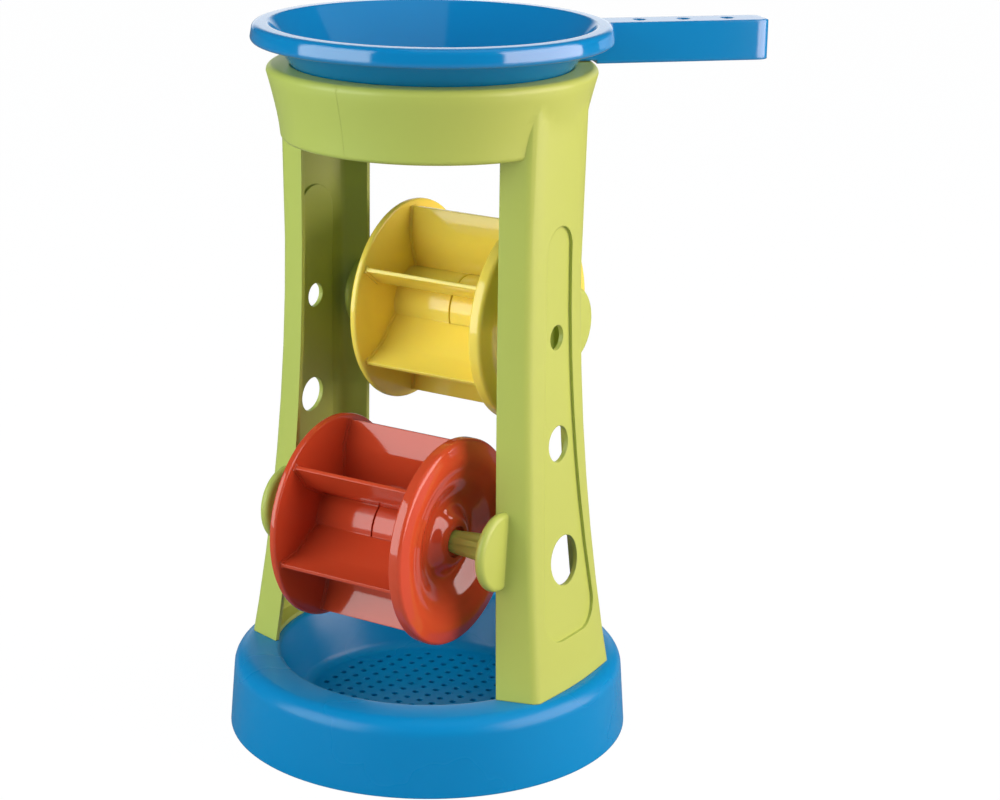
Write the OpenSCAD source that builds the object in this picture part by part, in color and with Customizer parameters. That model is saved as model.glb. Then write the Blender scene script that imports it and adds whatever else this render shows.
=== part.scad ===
// Sand wheel toy: a sieve base, a tower of two mirrored halves, two paddle
// wheels on stub axles, and a lift-off funnel with a handle.
// X runs along the wheel axles, from column to column. Y runs to the back.
// Z is up. The origin is on the ground at the centre of the base.

/* [Base] */
// Radius of the base where it stands on the ground
base_r = 95.5; // [92:0.5:100]
// Radius of the base wall under its shoulder
base_top_r = 93.4; // [90:0.2:94]
// Height of the base to the top of its shoulder
base_h = 36; // [32:1:42]
// Wall thickness of the base
base_wall = 2.4; // [2:0.1:2.8]
// Radius of the rounded shoulder
shoulder_round = 8; // [5:0.5:9]
// Radius of the bowl at its mouth
bowl_r = 70.5; // [68:0.5:72]
// Radius of the rounded bowl edge
bowl_rim_round = 3; // [2.9:0.1:3.4]
// Lean of the bowl wall from upright, in degrees
bowl_lean = 20; // [10:1:26]
// Height of the upper face of the sieve floor
sieve_top = 9; // [6:0.5:12]
// Radius between bowl wall and sieve floor
sieve_fillet = 6; // [4:0.5:8]
// Diameter of one sieve hole
sieve_hole_d = 3; // [2:0.1:3.6]
// Distance between sieve holes
sieve_pitch = 7.2; // [7:0.1:9]

/* [Columns] */
// Drop of the narrowest place of the columns below the collar
waist_drop = 49.5; // [30:0.5:65]
// Distance from the tower axis to the middle of a column face at the waist
waist_face = 69.2; // [68.5:0.1:70.5]
// Distance from the middle of a column face at the foot to the start of the base's shoulder
foot_inset = 0.1; // [0:0.1:3]
// Outward step of a column face from the waist to the top of the collar
collar_spread = 2.2; // [1:0.1:3]
// Radius of the curve across a column face
face_curve_r = 200; // [140:5:300]
// Distance from the tower axis to a column side wall at the waist
waist_side = 41.2; // [39:0.1:43]
// Distance from the tower axis to a column side wall at the foot
foot_side = 55.6; // [50:0.1:57]
// Distance from the wheel mid plane to the inner edge of a column at the waist
waist_lip = 53.5; // [51:0.1:55]
// Distance from the wheel mid plane to the inner edge of a column at the foot
foot_lip = 63.5; // [60:0.1:66]
// Angle by which the side walls open toward the wheels, in degrees
side_splay = 16; // [12:1:20]
// Radius of the column corners
corner_round = 6; // [4:0.5:8]
// Wall thickness of the tower
tower_wall = 2.2; // [1.8:0.1:2.4]

/* [Column panel and holes] */
// Depth of the recessed panel
panel_depth = 1.5; // [1:0.1:1.8]
// Height of the top of the panel
panel_top = 252; // [240:1:262]
// Height of the bottom of the panel
panel_bottom = 59; // [55:1:68]
// Half width of the panel at its top
panel_top_half = 10.8; // [9:0.1:12]
// Half width of the panel at its foot
panel_foot_half = 24; // [18:0.5:25]
// Radius of the panel's lower corners
panel_foot_round = 13; // [9:0.5:15]
// Diameter of the upper hole
upper_hole_d = 11.5; // [9:0.5:13]
// Diameter of the middle hole
middle_hole_d = 17; // [14:0.5:18]
// Diameter of the lower hole
lower_hole_d = 23.5; // [20:0.5:25]
// Height of the upper hole
upper_hole_h = 200.5; // [195:0.5:208]
// Height of the middle hole
middle_hole_h = 150.5; // [146:0.5:158]
// Height of the lower hole
lower_hole_h = 95; // [90:1:104]

/* [Collar] */
// Rise of the collar's lower edge above the upper axle
collar_rise = 86.8; // [82:0.1:92]
// Height of the collar from its lower to its upper edge
collar_h = 33.7; // [30:0.1:36]
// Radius of the collar at its lower edge
collar_r = 68.8; // [68:0.1:70]
// Radius of the collar at its lip
collar_lip_r = 75; // [73:0.1:76]
// Wall thickness of the collar
collar_wall = 3.4; // [2.4:0.1:4]
// Radius of the rounded lip of the collar
lip_round = 3; // [2:0.2:3.4]
// Radius of the collar's rounded lower edge
collar_edge = 2.4; // [1:0.2:2.8]
// Thickness of the top plate that carries the funnel
plate_t = 3; // [2.4:0.1:3.6]
// Height of the tongue behind the seam of the two halves
tongue_h = 6.5; // [4:0.5:9]
// Overlap of the tongue behind the seam
tongue_reach = 6; // [4:0.5:8]

/* [Ears and axle pins] */
// Radius of the ears that hold the axle pins
ear_r = 18.5; // [17:0.1:20]
// Thickness of an ear
ear_t = 5; // [4:0.2:6]
// Radius of the rounded edge of an ear
ear_edge = 2.4; // [1.6:0.1:2.6]
// Radius over the ribs of an axle pin at its ear
pin_r = 7.2; // [6.4:0.1:7.6]
// Radius over the ribs of an axle pin at the wheel
pin_tip_r = 5.3; // [5:0.1:6]
// Radius of the journal that runs in the wheel
journal_r = 4.5; // [4:0.1:5]
// Length of the journal
journal_l = 12; // [8:0.5:14]
// Radius of the plain root of an axle pin
pin_root_r = 4.6; // [4:0.1:5]
// Depth of the root in its ear
pin_root_depth = 3.4; // [2.5:0.1:3.6]
// Radius of the flutes between the ribs of a pin
flute_r = 2.3; // [1.6:0.1:2.4]
// Number of flutes
flute_count = 6; // [5:1:7]

/* [Wheels] */
// Radius of a paddle wheel
wheel_r = 48.3; // [45:0.1:49]
// Distance from the mid plane to the outer face of the drum flange
drum_face = 34; // [32:0.5:36]
// Thickness of the drum flange
flange_t = 3.3; // [2.4:0.1:4]
// Distance from the mid plane to the inner face of the end cap
cap_inner = 31.5; // [28:0.5:33]
// Width of the rim of the end cap
cap_rim = 6.4; // [5:0.2:8]
// Depth of the dish of the end cap below its rim
dish_depth = 6.4; // [5:0.2:7]
// Radius of the dish
dish_r = 33; // [28:0.5:36]
// Wall thickness of the wheel parts
wheel_wall = 2; // [1.6:0.1:2.2]
// Radius of the hub tube
hub_r = 16; // [14:0.5:18]
// Place of the joint line on the hub, right of the mid plane
hub_joint = 0.5; // [0:0.5:5]
// Width of the joint line on the hub
hub_line = 0.8; // [0.4:0.1:1]
// Thickness of a vane
vane_t = 1.8; // [1.4:0.1:2.2]
// Number of vanes
vane_count = 6; // [5:1:7]
// Distance of the vane tips inside the wheel's edge
vane_inset = 2.6; // [1.5:0.1:4]
// Sideways step of a vane at its bend
vane_bend = 1.6; // [1:0.1:3]
// Sideways step of a vane at its root, to the other side
vane_lean = 3.4; // [2:0.2:4]
// Rise of the lower axle above the base
lower_axle_rise = 70; // [68:0.5:74]
// Distance of the lower axle in front of the tower axis
lower_axle_y = 33; // [31:0.5:34]
// Rise of the upper axle above the lower one
upper_axle_rise = 91.7; // [88:0.1:95]
// Distance of the upper axle behind the tower axis
upper_axle_y = 31; // [28:0.5:32]
// Turn of the lower wheel, in degrees
lower_turn = 15; // [0:1:59]
// Turn of the upper wheel, in degrees
upper_turn = 31; // [0:1:59]

/* [Funnel] */
// Rise of the funnel's crest above the collar
crest_rise = 18.4; // [17.6:0.2:20]
// Radius of the funnel's mouth
mouth_r = 74.2; // [73:0.1:76]
// Radius of the skirt
skirt_r = 82; // [80:0.1:84]
// Radius of the crest's rounded outer edge
crest_round = 2.5; // [1.5:0.1:3]
// Drop of the skirt below the crest
skirt_drop = 8.3; // [7:0.1:9]
// Wall thickness of the funnel
funnel_wall = 2; // [1.6:0.1:2.2]
// Lean of the funnel cone from upright, in degrees
cone_lean = 34; // [31:0.5:35]
// Depth of the bowl from the crest to its floor
bowl_depth = 37; // [30:0.5:40]
// Drop from the edge of the funnel's floor to the spout
spout_slope = 10; // [8:0.5:12]
// Length of the spout
spout_l = 11; // [8:0.5:13]
// Inner radius of the spout
spout_r = 7; // [5:0.5:9]

/* [Handle] */
// Distance from the tower axis to the end of the handle
handle_end = 158.8; // [150:0.2:162]
// Width of the handle
handle_w = 16; // [14:0.5:20]
// Height of the handle
handle_h = 18.5; // [15:0.1:19]
// Distance of the handle's top below the crest
handle_drop = 0.8; // [0.6:0.1:2]
// Radius of the handle's end corners, seen from above
handle_round = 6.5; // [4:0.5:7]
// Radius of the handle's upper end edge, seen from the side
handle_nose = 3; // [2:0.2:5]
// Wall thickness of the handle
handle_wall = 2.2; // [1.8:0.1:2.6]
// Diameter of the holes in the handle
handle_hole_d = 5.6; // [4:0.2:6.4]
// Distance of the first hole from the tower axis
handle_hole_first = 97; // [94:1:100]
// Distance between the holes
handle_hole_pitch = 21.2; // [19:0.2:22]
// Direction of the handle, in degrees from the right hand column
handle_turn = 46; // [0:1:90]

/* [Fits] */
// Radial gap of a running fit
running_gap = 0.05; // [0.02:0.01:0.09]
// Gap of parts that are fixed to each other
seat_gap = 0.05; // [0.03:0.01:0.1]
// Gap between the funnel and the seat it rests in
rest_gap = 0.3; // [0.2:0.05:0.4]

/* [Hidden] */

blue = [0.0, 0.5, 0.75];
green = [0.68, 0.77, 0.35];
red = [0.84, 0.29, 0.16];
yellow = [0.97, 0.8, 0.25];

$fn = 96;
// One overrun for all cuts, and one length longer than the part
over = base_wall;
span = 2 * base_r;
arc_steps = 8;

// Points on an arc round (x, y), from one angle to another
function arc(x, y, r, from, to, n = arc_steps) =
    [for (i = [0:n]) let (a = from + (to - from) * i / n) [x + r * cos(a), y + r * sin(a)]];
// Evenly spaced values from one end to the other
function steps(from, to, n) = [for (i = [0:n]) from + (to - from) * i / n];

// Base profile: bowl edge and fillet share one tangent line
shoulder_x = base_top_r - shoulder_round;
shoulder_z = base_h - shoulder_round;
rim_x = bowl_r + bowl_rim_round;
rim_z = base_h - bowl_rim_round;
fillet_z = sieve_top + sieve_fillet;
fillet_x = rim_x - (rim_z - fillet_z) * tan(bowl_lean)
    - (bowl_rim_round + sieve_fillet) / cos(bowl_lean);

// The upper face of the base, from its outer foot to the axis, moved in by inset
function base_skin(inset) = concat(
    [[base_r - inset, -inset]],
    arc(shoulder_x, shoulder_z, shoulder_round - inset, 0, 90),
    arc(rim_x, rim_z, bowl_rim_round - inset, 90, 180 - bowl_lean),
    arc(fillet_x, fillet_z, sieve_fillet + inset, -bowl_lean, -90),
    [[0, sieve_top - inset]]);

// Heights of the tower
lower_axle_h = base_h + lower_axle_rise;
upper_axle_h = lower_axle_h + upper_axle_rise;
collar_bottom = upper_axle_h + collar_rise;
collar_top = collar_bottom + collar_h;
crest_h = collar_top + crest_rise;
waist_h = collar_bottom - waist_drop;

// Column: how far it has spread at height z, from 0 at the waist to 1 at the foot
foot_z = base_h - shoulder_round;
foot_face = shoulder_x - foot_inset;
function spread(z) = pow(max(0, waist_h - z) / (waist_h - foot_z), 2);
function face_x(z) = waist_face + (foot_face - waist_face) * spread(z)
    + collar_spread * pow(max(0, z - waist_h) / (collar_top - waist_h), 2);
function side_d(z) = waist_side + (foot_side - waist_side) * spread(z);
function lip_x(z) = waist_lip + (foot_lip - waist_lip) * spread(z);
side_angle = side_splay - 90;
// The face curves round a line on the far side of the tower axis, this far from it
face_shift = face_curve_r - waist_face;
// Distance from the axis to the tangent plane of the rounded corner that faces angle t
function corner_d(z, t, inset) =
    let (r = face_x(z) + face_shift - corner_round,
         c = side_angle + acos((side_d(z) - corner_round + face_shift * cos(side_angle)) / r))
    r * cos(c - t) - face_shift * cos(t) + corner_round - inset;
corner_step = 14;
// Levels of the face, and levels of the side planes, which run past both its ends
column_levels = concat(steps(foot_z, waist_h, 9),
    [for (i = [1:5]) waist_h + (collar_top - waist_h) * i / 5]);
side_levels = concat(steps(foot_z - over, waist_h - over, 8), [collar_top + over]);
column_top = collar_top - collar_h / 3;
room_z = collar_bottom + collar_h / 3;
channel_top = room_z - tower_wall;

// Collar: its outer radius from the lower edge to the lip
tongue_top = collar_bottom + tongue_h;
edge_z = collar_bottom + collar_edge;
lip_z = collar_top - lip_round;
flare_power = 1.3;
function flare_r(z) = collar_r
    + (collar_lip_r - collar_r) * pow(max(0, z - edge_z) / (lip_z - edge_z), flare_power);
flare_levels = [for (i = [1:5]) edge_z + (lip_z - edge_z) * i / 6];
inner_levels = [for (i = [5:-1:1]) tongue_top + (lip_z - tongue_top) * i / 6];
plate_under = collar_top - plate_t;
// Radius of the conical seat in the top plate, which follows the funnel's cone
function seat_r(z) = cone_r(z) + rest_gap / cos(cone_lean);

// Feet of the columns: a plate on the base's shoulder, with a tab that plugs into it
plate_z = base_h + seat_gap;
tab_share = 0.6;
tab_w = foot_side * tab_share;
tab_t = 2 * tower_wall;
tab_drop = base_h / 3;
tab_x = (rim_x + shoulder_x) / 2;

// Wheel
bore_r = journal_r + running_gap;
flange_edge = flange_t / 3;
sleeve_r = hub_r - wheel_wall - seat_gap;
sleeve_reach = 3 * wheel_wall;
recess_r = pin_tip_r + wheel_wall;
boss_r = recess_r + wheel_wall;
vane_r = wheel_r - vane_inset;
bend_share = 0.6;
flange_in = drum_face - flange_t;
// The cap: a rolled rim, a dish with its back behind the rim, and a low cone round the axle
cap_outer = cap_inner + cap_rim;
rim_edge = cap_rim / 3;
dish_floor = cap_outer - dish_depth;
dish_back = dish_floor - wheel_wall;
dish_back_r = dish_r - wheel_wall;
dish_floor_r = hub_r + wheel_wall;
cap_hub_face = cap_outer - wheel_wall / 2;
cap_bearing = cap_hub_face - wheel_wall;
rib_h = wheel_wall / 2;
rib_t = 2 * vane_t;
// Side play between a wheel and the shoulder of its pins
side_play = rest_gap;

// Funnel
rest_z = collar_top + rest_gap;
under_z = crest_h - funnel_wall;
skirt_z = crest_h - skirt_drop;
band_top_r = skirt_r - funnel_wall / 3;
floor_z = crest_h - bowl_depth;
spout_top = floor_z - spout_slope;
// Radius of the cone's inner face at height z, and of its outer face
function cone_inner_r(z) = mouth_r - (crest_h - z) * tan(cone_lean);
function cone_r(z) = cone_inner_r(z) + funnel_wall / cos(cone_lean);
handle_top = crest_h - handle_drop;
handle_root = cone_r(handle_top - handle_h) - 2 * funnel_wall;
// The nose arc runs a little past the end face, so that the two meet at an edge
nose_share = 0.85;

module profile_solid(points) { rotate_extrude() polygon(points); }

module sieve_holes() {
    reach = fillet_x - sieve_hole_d;
    n = floor(reach / sieve_pitch);
    for (i = [-n:n], j = [-n:n])
        if (norm([i, j]) * sieve_pitch < reach)
            translate([i * sieve_pitch, j * sieve_pitch]) circle(d = sieve_hole_d, $fn = 16);
}

module tab(gap = 0) {
    translate([tab_x, 0, base_h - tab_drop])
        linear_extrude(tab_drop + tower_wall) square([tab_t + 2 * gap, tab_w + 2 * gap], center = true);
}

module sieve_base() {
    color(blue) difference() {
        profile_solid(concat(base_skin(0), [[0, 0]]));
        profile_solid(concat(base_skin(base_wall), [[0, -base_wall]]));
        translate([0, 0, sieve_top - base_wall - over])
            linear_extrude(base_wall + 2 * over) sieve_holes();
        for (s = [0, 1]) mirror([s, 0, 0]) tab(seat_gap);
    }
}

// The solid inside the column face, out to the face less inset
module face_solid(inset) {
    translate([-face_shift, 0, 0]) profile_solid(concat([[0, foot_z]],
        [for (z = column_levels) [face_x(z) + face_shift - inset, z]], [[0, collar_top]]));
}

// Everything on the inner side of the side wall or corner plane that faces angle t
module side_block(t, inset) {
    rotate([0, 0, t + 90]) rotate([90, 0, 90]) translate([0, 0, -span])
        linear_extrude(2 * span)
            polygon(concat([for (z = side_levels) [-corner_d(z, t, inset), z]],
                [[span, collar_top + over], [span, foot_z - over]]));
}

// The side wall and its rounded corner
module side_blocks(inset) {
    intersection() {
        side_block(side_angle, inset);
        side_block(side_angle + corner_step, inset);
        side_block(side_angle + 2 * corner_step, inset);
        side_block(side_angle + 3 * corner_step, inset);
        side_block(side_angle + 4 * corner_step, inset);
    }
}

module column_core(inset) {
    intersection() {
        face_solid(inset);
        side_blocks(inset);
        mirror([0, 1, 0]) side_blocks(inset);
    }
}

// Everything outside the inner edge of the column
module lip_block(extra = 0) {
    rotate([90, 0, 0]) translate([0, 0, -span]) linear_extrude(2 * span)
        polygon(concat([for (z = side_levels) [lip_x(z) - extra, z]],
            [[span, collar_top + over], [span, foot_z - over]]));
}

// The panel's outline, grown outward: an arch on top, sides that spread as the column does
module panel_prism(grow) {
    top_z = panel_top - panel_top_half;
    foot_c = panel_bottom + panel_foot_round;
    levels = steps(foot_c, top_z, 6);
    half = [for (z = levels)
        panel_top_half + (panel_foot_half - panel_top_half) * spread(z) / spread(panel_bottom) + grow];
    foot_y = half[0] - grow - panel_foot_round;
    rotate([90, 0, 90]) linear_extrude(span)
        polygon(concat(
            arc(0, top_z, panel_top_half + grow, 0, 180, 2 * arc_steps),
            [for (i = [5:-1:1]) [-half[i], levels[i]]],
            arc(-foot_y, foot_c, panel_foot_round + grow, 180, 270),
            arc(foot_y, foot_c, panel_foot_round + grow, 270, 360),
            [for (i = [1:5]) [half[i], levels[i]]]));
}

module column_holes() {
    for (h = [[upper_hole_h, upper_hole_d], [middle_hole_h, middle_hole_d], [lower_hole_h, lower_hole_d]])
        translate([0, 0, h[0]]) rotate([0, 90, 0]) cylinder(h = span, d = h[1]);
}

// A column: an open channel with a recessed panel that shows as a bump inside
module column() {
    difference() {
        intersection() {
            column_core(0);
            lip_block();
            translate([0, 0, foot_z]) cylinder(h = column_top - foot_z, r = base_r);
        }
        difference() {
            intersection() {
                column_core(tower_wall);
                lip_block(waist_lip / 2);
                translate([0, 0, foot_z]) cylinder(h = channel_top - foot_z, r = base_r);
            }
            difference() {
                panel_prism(tower_wall);
                face_solid(tower_wall + panel_depth);
            }
        }
        difference() {
            panel_prism(0);
            face_solid(panel_depth);
        }
        column_holes();
        profile_solid(concat(base_skin(-seat_gap), [[0, 0]]));
    }
}

// The collar, full round, with the top plate that carries and centres the funnel
module collar() {
    profile_solid(concat(
        arc(collar_r - collar_edge, edge_z, collar_edge, -90, 0),
        [for (z = flare_levels) [flare_r(z), z]],
        arc(collar_lip_r - lip_round, lip_z, lip_round, 0, 90),
        [[seat_r(collar_top), collar_top], [seat_r(plate_under), plate_under],
            [flare_r(plate_under) - collar_wall, plate_under]],
        [for (z = inner_levels) if (z < plate_under) [flare_r(z) - collar_wall, z]],
        [[collar_r - collar_wall, tongue_top], [collar_r - collar_wall, collar_bottom]]));
}

// The room for the funnel's bowl inside the collar
module collar_room() {
    profile_solid([[0, room_z], [flare_r(room_z) - collar_wall, room_z],
        [flare_r(column_top) - collar_wall, column_top],
        [flare_r(column_top) - collar_wall, column_top + over], [0, column_top + over]]);
}

// The plate and tab inside the foot of a column
module foot() {
    intersection() {
        column_core(0);
        lip_block();
        difference() {
            translate([0, 0, plate_z]) cylinder(h = tower_wall, r = base_r);
            translate([0, 0, base_h - over]) cylinder(h = 2 * over + tower_wall, r = rim_x);
        }
    }
    tab();
}

// A round ear with a rounded edge, its axis along X, its inner face at x
module ear(x, y, z) {
    translate([x, y, z]) rotate([90, 0, 90]) profile_solid(concat([[0, 0]],
        arc(ear_r - ear_edge, ear_edge, ear_edge, -90, 0),
        arc(ear_r - ear_edge, ear_t - ear_edge, ear_edge, 0, 90), [[0, ear_t]]));
}

module pin_socket(x, y, z) {
    translate([x - over, y, z]) rotate([0, 90, 0])
        cylinder(h = pin_root_depth + seat_gap + over, r = pin_root_r + seat_gap);
}

// Places of the two axles on a column: the inner face of the ear, y and z
function ear_place(y, z) = [lip_x(z), y, z];
lower_ear = ear_place(-lower_axle_y, lower_axle_h);
upper_ear = ear_place(upper_axle_y, upper_axle_h);

module tower_half() {
    difference() {
        union() {
            difference() {
                column();
                collar_room();
            }
            collar();
            for (e = [lower_ear, upper_ear]) ear(e[0], e[1], e[2]);
            foot();
        }
        for (e = [lower_ear, upper_ear]) pin_socket(e[0], e[1], e[2]);
        translate([-span, -span, 0]) cube([span, 2 * span, collar_top + over]);
    }
}

// The tongue behind the seam: fused to the left half, free behind the right one
module tongue() {
    r = collar_r - collar_wall;
    for (s = [0, 1]) mirror([0, s, 0]) difference() {
        union() {
            for (side = [[-tongue_reach, r + collar_wall / 4], [0, r - seat_gap]])
                intersection() {
                    translate([0, 0, collar_bottom]) cylinder(h = tongue_h, r = side[1]);
                    translate([side[0], 0, collar_bottom]) cube([tongue_reach, span, tongue_h]);
                }
        }
        translate([0, 0, collar_bottom - over])
            cylinder(h = tongue_h + 2 * over, r = r - tower_wall);
    }
}

module tower_right() { color(green) tower_half(); }

module tower_left() {
    color(green) {
        mirror([1, 0, 0]) tower_half();
        tongue();
    }
}

// Turns a solid made along Z so that its axis lies along X, at an axle's y and z
module at_axle(y, z) { translate([0, y, z]) rotate([90, 0, 90]) children(); }

// An axle pin: root in the ear, a middle whose ribs rise toward the ear, plain journal in the wheel
module axle_pin(lip, face) {
    start = face + side_play;
    root_end = lip + pin_root_depth;
    tip = face - journal_l;
    difference() {
        union() {
            profile_solid([[0, start], [pin_tip_r, start], [pin_r, lip], [0, lip]]);
            translate([0, 0, start]) cylinder(h = root_end - start, r = pin_root_r);
            translate([0, 0, tip]) cylinder(h = start - tip, r = journal_r);
        }
        for (i = [0:flute_count - 1]) rotate([0, 0, 360 / flute_count * i])
            translate([pin_r, 0, start - over]) cylinder(h = lip - start + 2 * over, r = flute_r);
    }
}

module lower_axle_right() {
    color(green) at_axle(-lower_axle_y, lower_axle_h) axle_pin(lower_ear[0], cap_bearing);
}

module lower_axle_left() {
    color(green) mirror([1, 0, 0]) at_axle(-lower_axle_y, lower_axle_h) axle_pin(lower_ear[0], drum_face);
}

module upper_axle_right() {
    color(green) at_axle(upper_axle_y, upper_axle_h) axle_pin(upper_ear[0], cap_bearing);
}

module upper_axle_left() {
    color(green) mirror([1, 0, 0]) at_axle(upper_axle_y, upper_axle_h) axle_pin(upper_ear[0], drum_face);
}

// The outline of a vane with its bend, t thick, from radius r0 outward
module vane_outline(r0, t) {
    bend_r = r0 + (vane_r - r0) * bend_share;
    polygon([[r0, -vane_lean - t / 2], [bend_r, vane_bend - t / 2], [vane_r, -t / 2],
        [vane_r, t / 2], [bend_r, vane_bend + t / 2], [r0, t / 2 - vane_lean]]);
}

module vanes() {
    root_r = hub_r - wheel_wall / 2;
    difference() {
        for (i = [0:vane_count - 1]) rotate([0, 0, 360 / vane_count * i]) {
            translate([0, 0, -drum_face + flange_t / 2])
                linear_extrude(drum_face - flange_t / 2 + cap_inner - seat_gap)
                    vane_outline(root_r, vane_t);
            translate([0, 0, -drum_face + flange_t / 2])
                linear_extrude(flange_t / 2 + rib_h) vane_outline(root_r, rib_t);
        }
        translate([0, 0, hub_joint - hub_line / 2]) cylinder(h = span, r = hub_r + seat_gap);
        translate([0, 0, dish_back - seat_gap]) cylinder(h = span, r = dish_back_r + seat_gap);
    }
}

// The drum: left flange, hub tube, bearing boss and vanes
module wheel_drum() {
    profile_solid(concat([[bore_r, -drum_face]],
        arc(wheel_r - flange_edge, flange_edge - drum_face, flange_edge, -90, 0),
        arc(wheel_r - flange_edge, -flange_in - flange_edge, flange_edge, 0, 90),
        [[bore_r, -flange_in]]));
    difference() {
        translate([0, 0, -drum_face]) cylinder(h = drum_face + hub_joint - hub_line / 2, r = hub_r);
        translate([0, 0, -drum_face - over]) cylinder(h = span, r = hub_r - wheel_wall);
    }
    difference() {
        translate([0, 0, -drum_face]) cylinder(h = journal_l, r = boss_r);
        translate([0, 0, -drum_face - over]) cylinder(h = span, r = bore_r);
    }
    vanes();
}

// The cap: dished right flange with a rounded rim, hub tube, sleeve and bearing boss
module wheel_cap() {
    profile_solid(concat(
        [[bore_r, dish_back], [dish_back_r, dish_back], [dish_back_r, cap_inner]],
        arc(wheel_r - flange_edge, cap_inner + flange_edge, flange_edge, -90, 0),
        arc(wheel_r - rim_edge, cap_outer - rim_edge, rim_edge, 0, 90),
        [for (i = [1:arc_steps])
            let (share = i / arc_steps)
            [wheel_r - rim_edge + (dish_r - wheel_r + rim_edge) * share,
                cap_outer + rib_h * (sin(180 * share) - share * share)]],
        [for (i = [1:arc_steps])
            let (share = i / arc_steps)
            [dish_r + (dish_floor_r - dish_r) * share,
                dish_floor + (cap_outer - rib_h - dish_floor) * (1 + cos(180 * share)) / 2]],
        [for (i = [1:arc_steps])
            let (share = i / arc_steps)
            [dish_floor_r + (boss_r - dish_floor_r) * share,
                dish_floor + (cap_hub_face - dish_floor) * (1 - cos(180 * share)) / 2]],
        [[recess_r, cap_hub_face], [recess_r, cap_bearing], [bore_r, cap_bearing]]));
    difference() {
        union() {
            translate([0, 0, hub_joint + hub_line / 2])
                cylinder(h = dish_back - hub_joint, r = hub_r);
            translate([0, 0, hub_joint - sleeve_reach]) cylinder(h = sleeve_reach + hub_line, r = sleeve_r);
        }
        translate([0, 0, hub_joint - sleeve_reach - over])
            cylinder(h = span, r = sleeve_r - wheel_wall);
    }
    difference() {
        translate([0, 0, cap_bearing - journal_l]) cylinder(h = journal_l - wheel_wall, r = boss_r);
        translate([0, 0, cap_bearing - journal_l - over]) cylinder(h = span, r = bore_r);
    }
}

module lower_wheel_drum() {
    color(red) at_axle(-lower_axle_y, lower_axle_h) rotate([0, 0, lower_turn]) wheel_drum();
}

module lower_wheel_cap() {
    color(red) at_axle(-lower_axle_y, lower_axle_h) rotate([0, 0, lower_turn]) wheel_cap();
}

module upper_wheel_drum() {
    color(yellow) at_axle(upper_axle_y, upper_axle_h) rotate([0, 0, upper_turn]) wheel_drum();
}

module upper_wheel_cap() {
    color(yellow) at_axle(upper_axle_y, upper_axle_h) rotate([0, 0, upper_turn]) wheel_cap();
}

// The handle's outline from its root to its end, moved in by inset
module handle_outline(inset) {
    half = handle_w / 2;
    corner_x = handle_end - handle_round;
    translate([handle_root, inset - half]) square([corner_x - handle_root, handle_w - 2 * inset]);
    translate([handle_root, handle_round - half])
        square([handle_end - inset - handle_root, handle_w - 2 * handle_round]);
    for (s = [-1, 1]) translate([corner_x, s * (half - handle_round)]) circle(r = handle_round - inset);
}

// The handle seen from the side, with its rounded upper end
module handle_side() {
    nose_x = handle_end - nose_share * handle_nose;
    bottom = handle_top - handle_h;
    rotate([90, 0, 0]) translate([0, 0, -handle_w]) linear_extrude(2 * handle_w)
        polygon(concat([[handle_root, bottom], [nose_x + handle_nose, bottom]],
            arc(nose_x, handle_top - handle_nose, handle_nose, 0, 90), [[handle_root, handle_top]]));
}

module handle() {
    rotate([0, 0, handle_turn]) difference() {
        intersection() {
            translate([0, 0, handle_top - handle_h - over])
                linear_extrude(handle_h + 2 * over) handle_outline(0);
            handle_side();
        }
        difference() {
            translate([0, 0, handle_top - handle_h - over])
                linear_extrude(handle_h + over - handle_wall) handle_outline(handle_wall);
            cylinder(h = 2 * crest_h, r = skirt_r - funnel_wall / 2);
        }
        translate([0, 0, handle_top - handle_h - over])
            cylinder(h = handle_h + over - handle_top + rest_z + rest_gap, r = collar_lip_r + rest_gap);
        for (i = [0:2]) translate([handle_hole_first + i * handle_hole_pitch, 0, handle_top - handle_h])
            cylinder(h = handle_h + over, d = handle_hole_d);
    }
}

// The bowl and spout of the funnel
module funnel_shell() {
    profile_solid(concat(
        [[cone_r(under_z), under_z], [skirt_r - funnel_wall, under_z]],
        arc(skirt_r - funnel_wall, skirt_z + funnel_wall, funnel_wall, -90, 0),
        arc(band_top_r - crest_round, crest_h - crest_round, crest_round, 0, 90),
        [[mouth_r, crest_h], [cone_inner_r(floor_z), floor_z],
            [spout_r, spout_top], [spout_r, spout_top - spout_l],
            [spout_r + funnel_wall, spout_top - spout_l], [spout_r + funnel_wall, spout_top - funnel_wall],
            [cone_r(floor_z), floor_z]]));
}

// The bowl's inside out to the middle of its wall, where the handle ends
module bowl_middle() {
    half = funnel_wall / 2;
    profile_solid([[0, floor_z], [cone_inner_r(floor_z) + half, floor_z], [mouth_r + half, crest_h],
        [mouth_r + half, crest_h + over], [0, crest_h + over]]);
}

module funnel() {
    color(blue) {
        funnel_shell();
        difference() {
            handle();
            bowl_middle();
        }
    }
}

sieve_base();
tower_right();
tower_left();
lower_axle_right();
lower_axle_left();
upper_axle_right();
upper_axle_left();
lower_wheel_drum();
lower_wheel_cap();
upper_wheel_drum();
upper_wheel_cap();
funnel();
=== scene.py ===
"""Looks of the sand wheel toy: moulded plastic on every part, studio light, and the camera of the photograph.

X runs along the wheel axles, Y to the back, Z up, all in metres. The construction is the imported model's own.
"""
import math

import bpy
from mathutils import Matrix, Vector

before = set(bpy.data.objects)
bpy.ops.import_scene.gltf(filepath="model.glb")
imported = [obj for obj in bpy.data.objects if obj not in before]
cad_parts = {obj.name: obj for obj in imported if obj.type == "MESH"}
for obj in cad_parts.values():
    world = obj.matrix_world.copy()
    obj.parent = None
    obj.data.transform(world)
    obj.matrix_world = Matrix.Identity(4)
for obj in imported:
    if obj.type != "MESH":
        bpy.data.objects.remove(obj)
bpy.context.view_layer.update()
MM = 0.001

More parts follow.
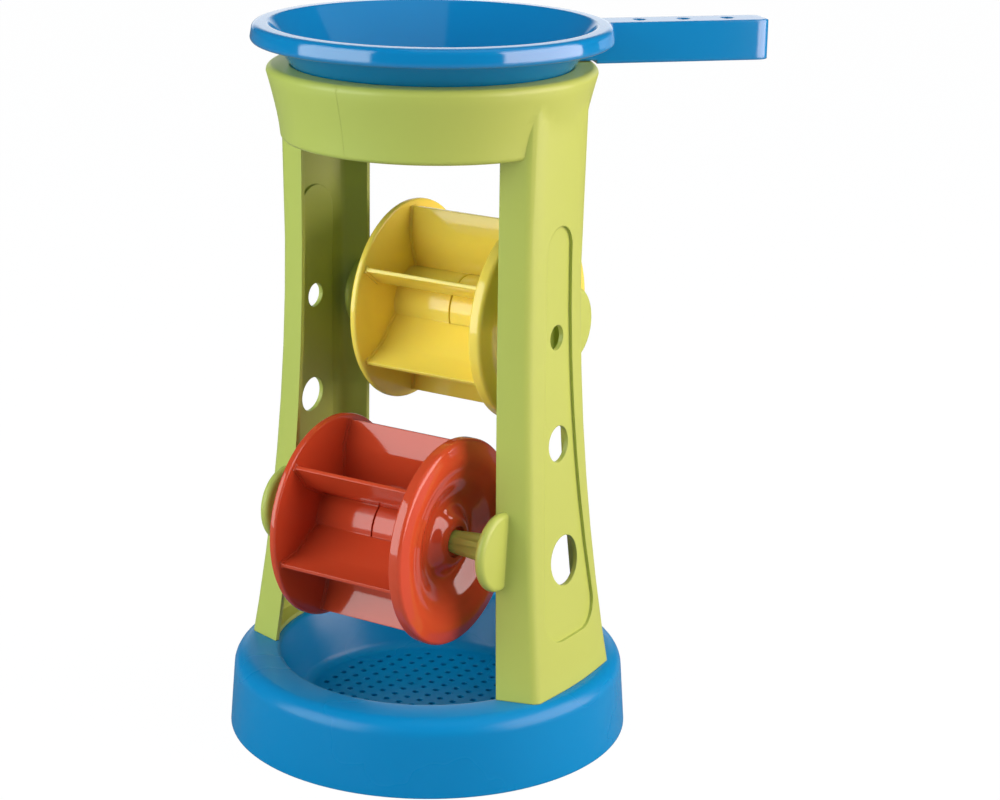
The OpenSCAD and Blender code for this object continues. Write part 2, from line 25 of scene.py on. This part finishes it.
# Camera: distance from the tower's axis, height, viewing angles in degrees, and lens
CAMERA_DISTANCE = 1.101
CAMERA_HEIGHT = 0.494
CAMERA_AZIMUTH = 33.3
CAMERA_PITCH = 16.89
CAMERA_YAW = 1.71
CAMERA_ROLL = 0.92
LENS_MM = 88.13
SENSOR_MM = 36.0
CLIP_START = 0.05
CLIP_END = 50.0

# Colours of the plastics and the lamps, linear
BLUE = (0.0, 0.237, 0.51)
FUNNEL_BLUE = (0.0, 0.225, 0.50)
GREEN = (0.455, 0.54, 0.105)
RED = (0.60, 0.068, 0.022)
YELLOW = (1.0, 0.76, 0.11)
WHITE = (1.0, 1.0, 1.0)
WARM = (1.0, 0.81, 0.79)
COOL = (0.84, 1.0, 1.2)

# Plastic: how far colour and gloss vary, the pitch and height of its unevenness, and how light enters it
TINT_SHARE = 0.04
GLOSS_SHARE = 0.15
CLOUD_SCALE = 14.0
SKIN_SCALE = 900.0
WAVE_SCALE = 30.0
SKIN_HEIGHT = 0.01 * MM
WAVE_HEIGHT = 0.1 * MM
BEVEL_SAMPLES = 6
PLASTIC_IOR = 1.49
SCATTER_DEPTH = 2.0 * MM
SCATTER_LEAST = 0.3

# Shading: points closer than this are one, and edges flatter than the angle in degrees are smooth
WELD_DISTANCE = 0.01 * MM
SMOOTH_ANGLE = 34.0

# World: light on matt surfaces, light in reflections of the room and of the white backdrop behind the
# object, and the cosines of the angles from straight behind at which the backdrop starts and is full
ROOM_LIGHT = 0.40
ROOM_MIRRORED = 0.06
BACKDROP_MIRRORED = 1.3
BACKDROP_START = 0.90
BACKDROP_FULL = 0.975

# Floor: half its size, its matt grey, and the white glow that the camera sees with a share of the shadow
FLOOR_HALF = 6.0
FLOOR_GREY = 0.3
FLOOR_GLOW = 1.06
FLOOR_GLOW_SHARE = 0.93

# Lamps: distance of the upright ones from the tower's axis
LAMP_DISTANCE = 1.2


def turned(x, y):
    """A direction seen along the camera's heading, turned into the model's frame."""
    a = math.radians(CAMERA_AZIMUTH)
    return x * math.cos(a) - y * math.sin(a), x * math.sin(a) + y * math.cos(a)


def opaque(colour):
    """A colour with its alpha, as a shader socket takes it."""
    return (*colour, 1.0)


def make_camera():
    """The camera of the photograph: aimed down and slightly past the tower's axis, with a small roll."""
    pitch, yaw, roll = (math.radians(v) for v in (CAMERA_PITCH, CAMERA_YAW, CAMERA_ROLL))
    aside, onward = math.sin(yaw) * math.cos(pitch), math.cos(yaw) * math.cos(pitch)
    ahead = Vector((*turned(aside, onward), -math.sin(pitch)))
    level = Vector((*turned(math.cos(yaw), -math.sin(yaw)), 0.0))
    above = level.cross(ahead)
    right = math.cos(roll) * level + math.sin(roll) * above
    up = -math.sin(roll) * level + math.cos(roll) * above
    data = bpy.data.cameras.new("camera")
    data.lens = LENS_MM
    data.sensor_width = SENSOR_MM
    data.sensor_fit = "HORIZONTAL"
    data.clip_start = CLIP_START
    data.clip_end = CLIP_END
    camera = bpy.data.objects.new("camera", data)
    bpy.context.scene.collection.objects.link(camera)
    place = Vector((*turned(0.0, -CAMERA_DISTANCE), CAMERA_HEIGHT))
    camera.matrix_world = Matrix.Translation(place) @ Matrix((right, up, -ahead)).transposed().to_4x4()
    bpy.context.scene.camera = camera


def smooth_group():
    """A modifier group that welds the mesh and smooths every edge flatter than the smoothing angle."""
    group = bpy.data.node_groups.new("smooth_by_angle", "GeometryNodeTree")
    group.interface.new_socket("Geometry", in_out="INPUT", socket_type="NodeSocketGeometry")
    group.interface.new_socket("Geometry", in_out="OUTPUT", socket_type="NodeSocketGeometry")
    add, link = group.nodes.new, group.links.new
    start, end = add("NodeGroupInput"), add("NodeGroupOutput")
    weld = add("GeometryNodeMergeByDistance")
    weld.inputs["Distance"].default_value = WELD_DISTANCE
    drop = add("GeometryNodeRemoveAttribute")
    drop.inputs["Name"].default_value = "custom_normal"
    faces = add("GeometryNodeSetShadeSmooth")
    edges = add("GeometryNodeSetShadeSmooth")
    edges.domain = "EDGE"
    edges.inputs["Shade Smooth"].default_value = False
    fold = add("GeometryNodeInputMeshEdgeAngle")
    sharp = add("FunctionNodeCompare")
    sharp.operation = "GREATER_THAN"
    sharp.inputs[1].default_value = math.radians(SMOOTH_ANGLE)
    link(start.outputs[0], weld.inputs["Geometry"])
    link(weld.outputs[0], drop.inputs["Geometry"])
    link(drop.outputs[0], faces.inputs["Geometry"])
    link(faces.outputs[0], edges.inputs["Geometry"])
    link(fold.outputs["Unsigned Angle"], sharp.inputs[0])
    link(sharp.outputs[0], edges.inputs["Selection"])
    link(edges.outputs[0], end.inputs[0])
    return group


def plastic(name, colour, roughness, shine=0.5, grain=0.2, ripple=0.15, edge=0.7, translucence=0.12):
    """Moulded plastic: slightly uneven gloss and colour, a fine skin, and edges rounded as in a mould.

    grain and ripple are the strengths of the fine skin and of the broad waves, edge is the radius in mm.
    """
    material = bpy.data.materials.new(name)
    material.use_nodes = True
    nodes, link = material.node_tree.nodes, material.node_tree.links.new
    nodes.clear()
    out = nodes.new("ShaderNodeOutputMaterial")
    shader = nodes.new("ShaderNodeBsdfPrincipled")
    place = nodes.new("ShaderNodeTexCoord")

    def noise(scale, detail):
        node = nodes.new("ShaderNodeTexNoise")
        node.inputs["Scale"].default_value = scale
        node.inputs["Detail"].default_value = detail
        link(place.outputs["Object"], node.inputs["Vector"])
        return node

    def bump(texture, strength, height, below):
        node = nodes.new("ShaderNodeBump")
        node.inputs["Strength"].default_value = strength
        node.inputs["Distance"].default_value = height
        link(texture.outputs["Fac"], node.inputs["Height"])
        link(below.outputs["Normal"], node.inputs["Normal"])
        return node

    cloud = noise(CLOUD_SCALE, 3.0)
    tint = nodes.new("ShaderNodeMix")
    tint.data_type = "RGBA"
    tint.inputs[6].default_value = opaque(c * (1.0 - TINT_SHARE) for c in colour)
    tint.inputs[7].default_value = opaque(min(1.0, c * (1.0 + TINT_SHARE)) for c in colour)
    gloss = nodes.new("ShaderNodeMapRange")
    gloss.inputs["To Min"].default_value = roughness * (1.0 - GLOSS_SHARE)
    gloss.inputs["To Max"].default_value = roughness * (1.0 + GLOSS_SHARE)
    rounded = nodes.new("ShaderNodeBevel")
    rounded.samples = BEVEL_SAMPLES
    rounded.inputs["Radius"].default_value = edge * MM
    waves = bump(noise(WAVE_SCALE, 1.0), ripple, WAVE_HEIGHT, rounded)
    skin = bump(noise(SKIN_SCALE, 2.0), grain, SKIN_HEIGHT, waves)
    link(cloud.outputs["Fac"], tint.inputs[0])
    link(cloud.outputs["Fac"], gloss.inputs["Value"])
    link(tint.outputs[2], shader.inputs["Base Color"])
    link(gloss.outputs["Result"], shader.inputs["Roughness"])
    link(skin.outputs["Normal"], shader.inputs["Normal"])
    shader.inputs["IOR"].default_value = PLASTIC_IOR
    shader.inputs["Specular IOR Level"].default_value = shine
    shader.inputs["Subsurface Weight"].default_value = translucence
    shader.inputs["Subsurface Radius"].default_value = tuple(SCATTER_LEAST + c for c in colour)
    shader.inputs["Subsurface Scale"].default_value = SCATTER_DEPTH
    link(shader.outputs["BSDF"], out.inputs["Surface"])
    return material


def dress_nodes():
    """Gives each CAD node its plastic and smooth shading."""
    green = plastic("tower_green", GREEN, roughness=0.36, shine=0.4)
    looks = {
        "sieve_base": plastic("base_blue", BLUE, roughness=0.27, shine=0.28),
        "funnel": plastic("funnel_blue", FUNNEL_BLUE, roughness=0.09, shine=0.9, ripple=0.08, edge=2.0),
        "tower": green,
        "lower_axle": green,
        "upper_axle": green,
        "lower_wheel": plastic("wheel_red", RED, roughness=0.08, shine=0.65, ripple=0.08),
        "upper_wheel": plastic("wheel_yellow", YELLOW, roughness=0.1, shine=0.65, ripple=0.08,
                               translucence=0.4),
    }
    group = smooth_group()
    for name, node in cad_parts.items():
        start = next(part for part in looks if name.startswith(part))
        node.data.materials.clear()
        node.data.materials.append(looks[start])
        modifier = node.modifiers.new("smooth", "NODES")
        modifier.node_group = group


def area_lamp(name, size, radiance, colour):
    """A rectangular lamp; its radiance is 1 where it is as bright as a white sheet lit at a plain level."""
    data = bpy.data.lights.new(name, "AREA")
    data.shape = "RECTANGLE"
    data.size, data.size_y = size
    data.energy = radiance * math.pi * size[0] * size[1]
    data.color = colour
    light = bpy.data.objects.new(name, data)
    bpy.context.scene.collection.objects.link(light)
    return light


def softbox(name, turn, heights, width, radiance, colour=WHITE):
    """An upright lamp that faces the object's axis, turned in degrees from the camera's side to the right."""
    low, high = heights
    a = math.radians(turn)
    light = area_lamp(name, (width, high - low), radiance, colour)
    place = Vector((*turned(LAMP_DISTANCE * math.sin(a), -LAMP_DISTANCE * math.cos(a)), (low + high) / 2))
    light.location = place
    light.rotation_euler = Vector((-place.x, -place.y, 0.0)).to_track_quat("-Z", "Y").to_euler()


def overhead(name, across, toward, height, size, radiance, colour=WHITE):
    """A level lamp over the object, placed across the view and toward the camera."""
    light = area_lamp(name, size, radiance, colour)
    light.location = (*turned(across, -toward), height)
    light.rotation_euler = (0.0, 0.0, math.radians(CAMERA_AZIMUTH))


def make_lights():
    softbox("right_box", turn=74.0, heights=(0.02, 1.25), width=1.4, radiance=4.8, colour=WARM)
    softbox("left_box", turn=-63.0, heights=(0.02, 1.25), width=1.15, radiance=3.35)
    overhead("top_box", across=0.75, toward=0.1, height=1.6, size=(1.9, 1.4), radiance=0.3)


def make_world():
    """White to the camera, a dim room for the surfaces, and a white backdrop in reflections from behind."""
    world = bpy.data.worlds.new("studio")
    world.use_nodes = True
    nodes, link = world.node_tree.nodes, world.node_tree.links.new
    nodes.clear()
    out = nodes.new("ShaderNodeOutputWorld")
    ray = nodes.new("ShaderNodeLightPath")
    place = nodes.new("ShaderNodeTexCoord")
    behind = nodes.new("ShaderNodeVectorMath")
    behind.operation = "DOT_PRODUCT"
    behind.inputs[1].default_value = (*turned(0.0, 1.0), 0.0)
    sweep = nodes.new("ShaderNodeMapRange")
    sweep.inputs["From Min"].default_value = BACKDROP_START
    sweep.inputs["From Max"].default_value = BACKDROP_FULL
    sweep.inputs["To Min"].default_value = ROOM_MIRRORED
    sweep.inputs["To Max"].default_value = BACKDROP_MIRRORED
    link(place.outputs["Generated"], behind.inputs[0])
    link(behind.outputs["Value"], sweep.inputs["Value"])

    def level(strength, colour=WHITE):
        node = nodes.new("ShaderNodeBackground")
        node.inputs["Color"].default_value = opaque(colour)
        node.inputs["Strength"].default_value = strength
        return node

    def mix(factor, one, two):
        node = nodes.new("ShaderNodeMixShader")
        link(factor, node.inputs["Fac"])
        link(one.outputs[0], node.inputs[1])
        link(two.outputs[0], node.inputs[2])
        return node

    room, plain, mirrored = level(ROOM_LIGHT, COOL), level(1.0), level(1.0)
    link(sweep.outputs["Result"], mirrored.inputs["Strength"])
    glossy = mix(ray.outputs["Is Glossy Ray"], room, mirrored)
    seen = mix(ray.outputs["Is Camera Ray"], glossy, plain)
    link(seen.outputs[0], out.inputs["Surface"])
    bpy.context.scene.world = world


def floor_material():
    """A grey matt floor for the light, which the camera sees as white with the object's shadow."""
    material = bpy.data.materials.new("floor_white")
    material.use_nodes = True
    nodes, link = material.node_tree.nodes, material.node_tree.links.new
    nodes.clear()
    out = nodes.new("ShaderNodeOutputMaterial")
    ray = nodes.new("ShaderNodeLightPath")
    matt = nodes.new("ShaderNodeBsdfDiffuse")
    matt.inputs["Color"].default_value = opaque((FLOOR_GREY, FLOOR_GREY, FLOOR_GREY))
    glow = nodes.new("ShaderNodeEmission")
    glow.inputs["Color"].default_value = opaque(WHITE)
    glow.inputs["Strength"].default_value = FLOOR_GLOW
    white = nodes.new("ShaderNodeMixShader")
    white.inputs["Fac"].default_value = FLOOR_GLOW_SHARE
    seen = nodes.new("ShaderNodeMixShader")
    link(matt.outputs["BSDF"], white.inputs[1])
    link(glow.outputs["Emission"], white.inputs[2])
    link(ray.outputs["Is Camera Ray"], seen.inputs["Fac"])
    link(matt.outputs["BSDF"], seen.inputs[1])
    link(white.outputs["Shader"], seen.inputs[2])
    link(seen.outputs["Shader"], out.inputs["Surface"])
    return material


def make_floor():
    """A plain level floor that shows the object's shadow and nothing else."""
    corners = [(x * FLOOR_HALF, y * FLOOR_HALF, 0.0) for x, y in ((-1, -1), (1, -1), (1, 1), (-1, 1))]
    mesh = bpy.data.meshes.new("floor")
    mesh.from_pydata(corners, [], [range(4)])
    mesh.materials.append(floor_material())
    floor = bpy.data.objects.new("floor", mesh)
    bpy.context.scene.collection.objects.link(floor)


make_camera()
dress_nodes()
make_world()
make_floor()
make_lights()
bpy.context.scene.view_settings.view_transform = "Standard"
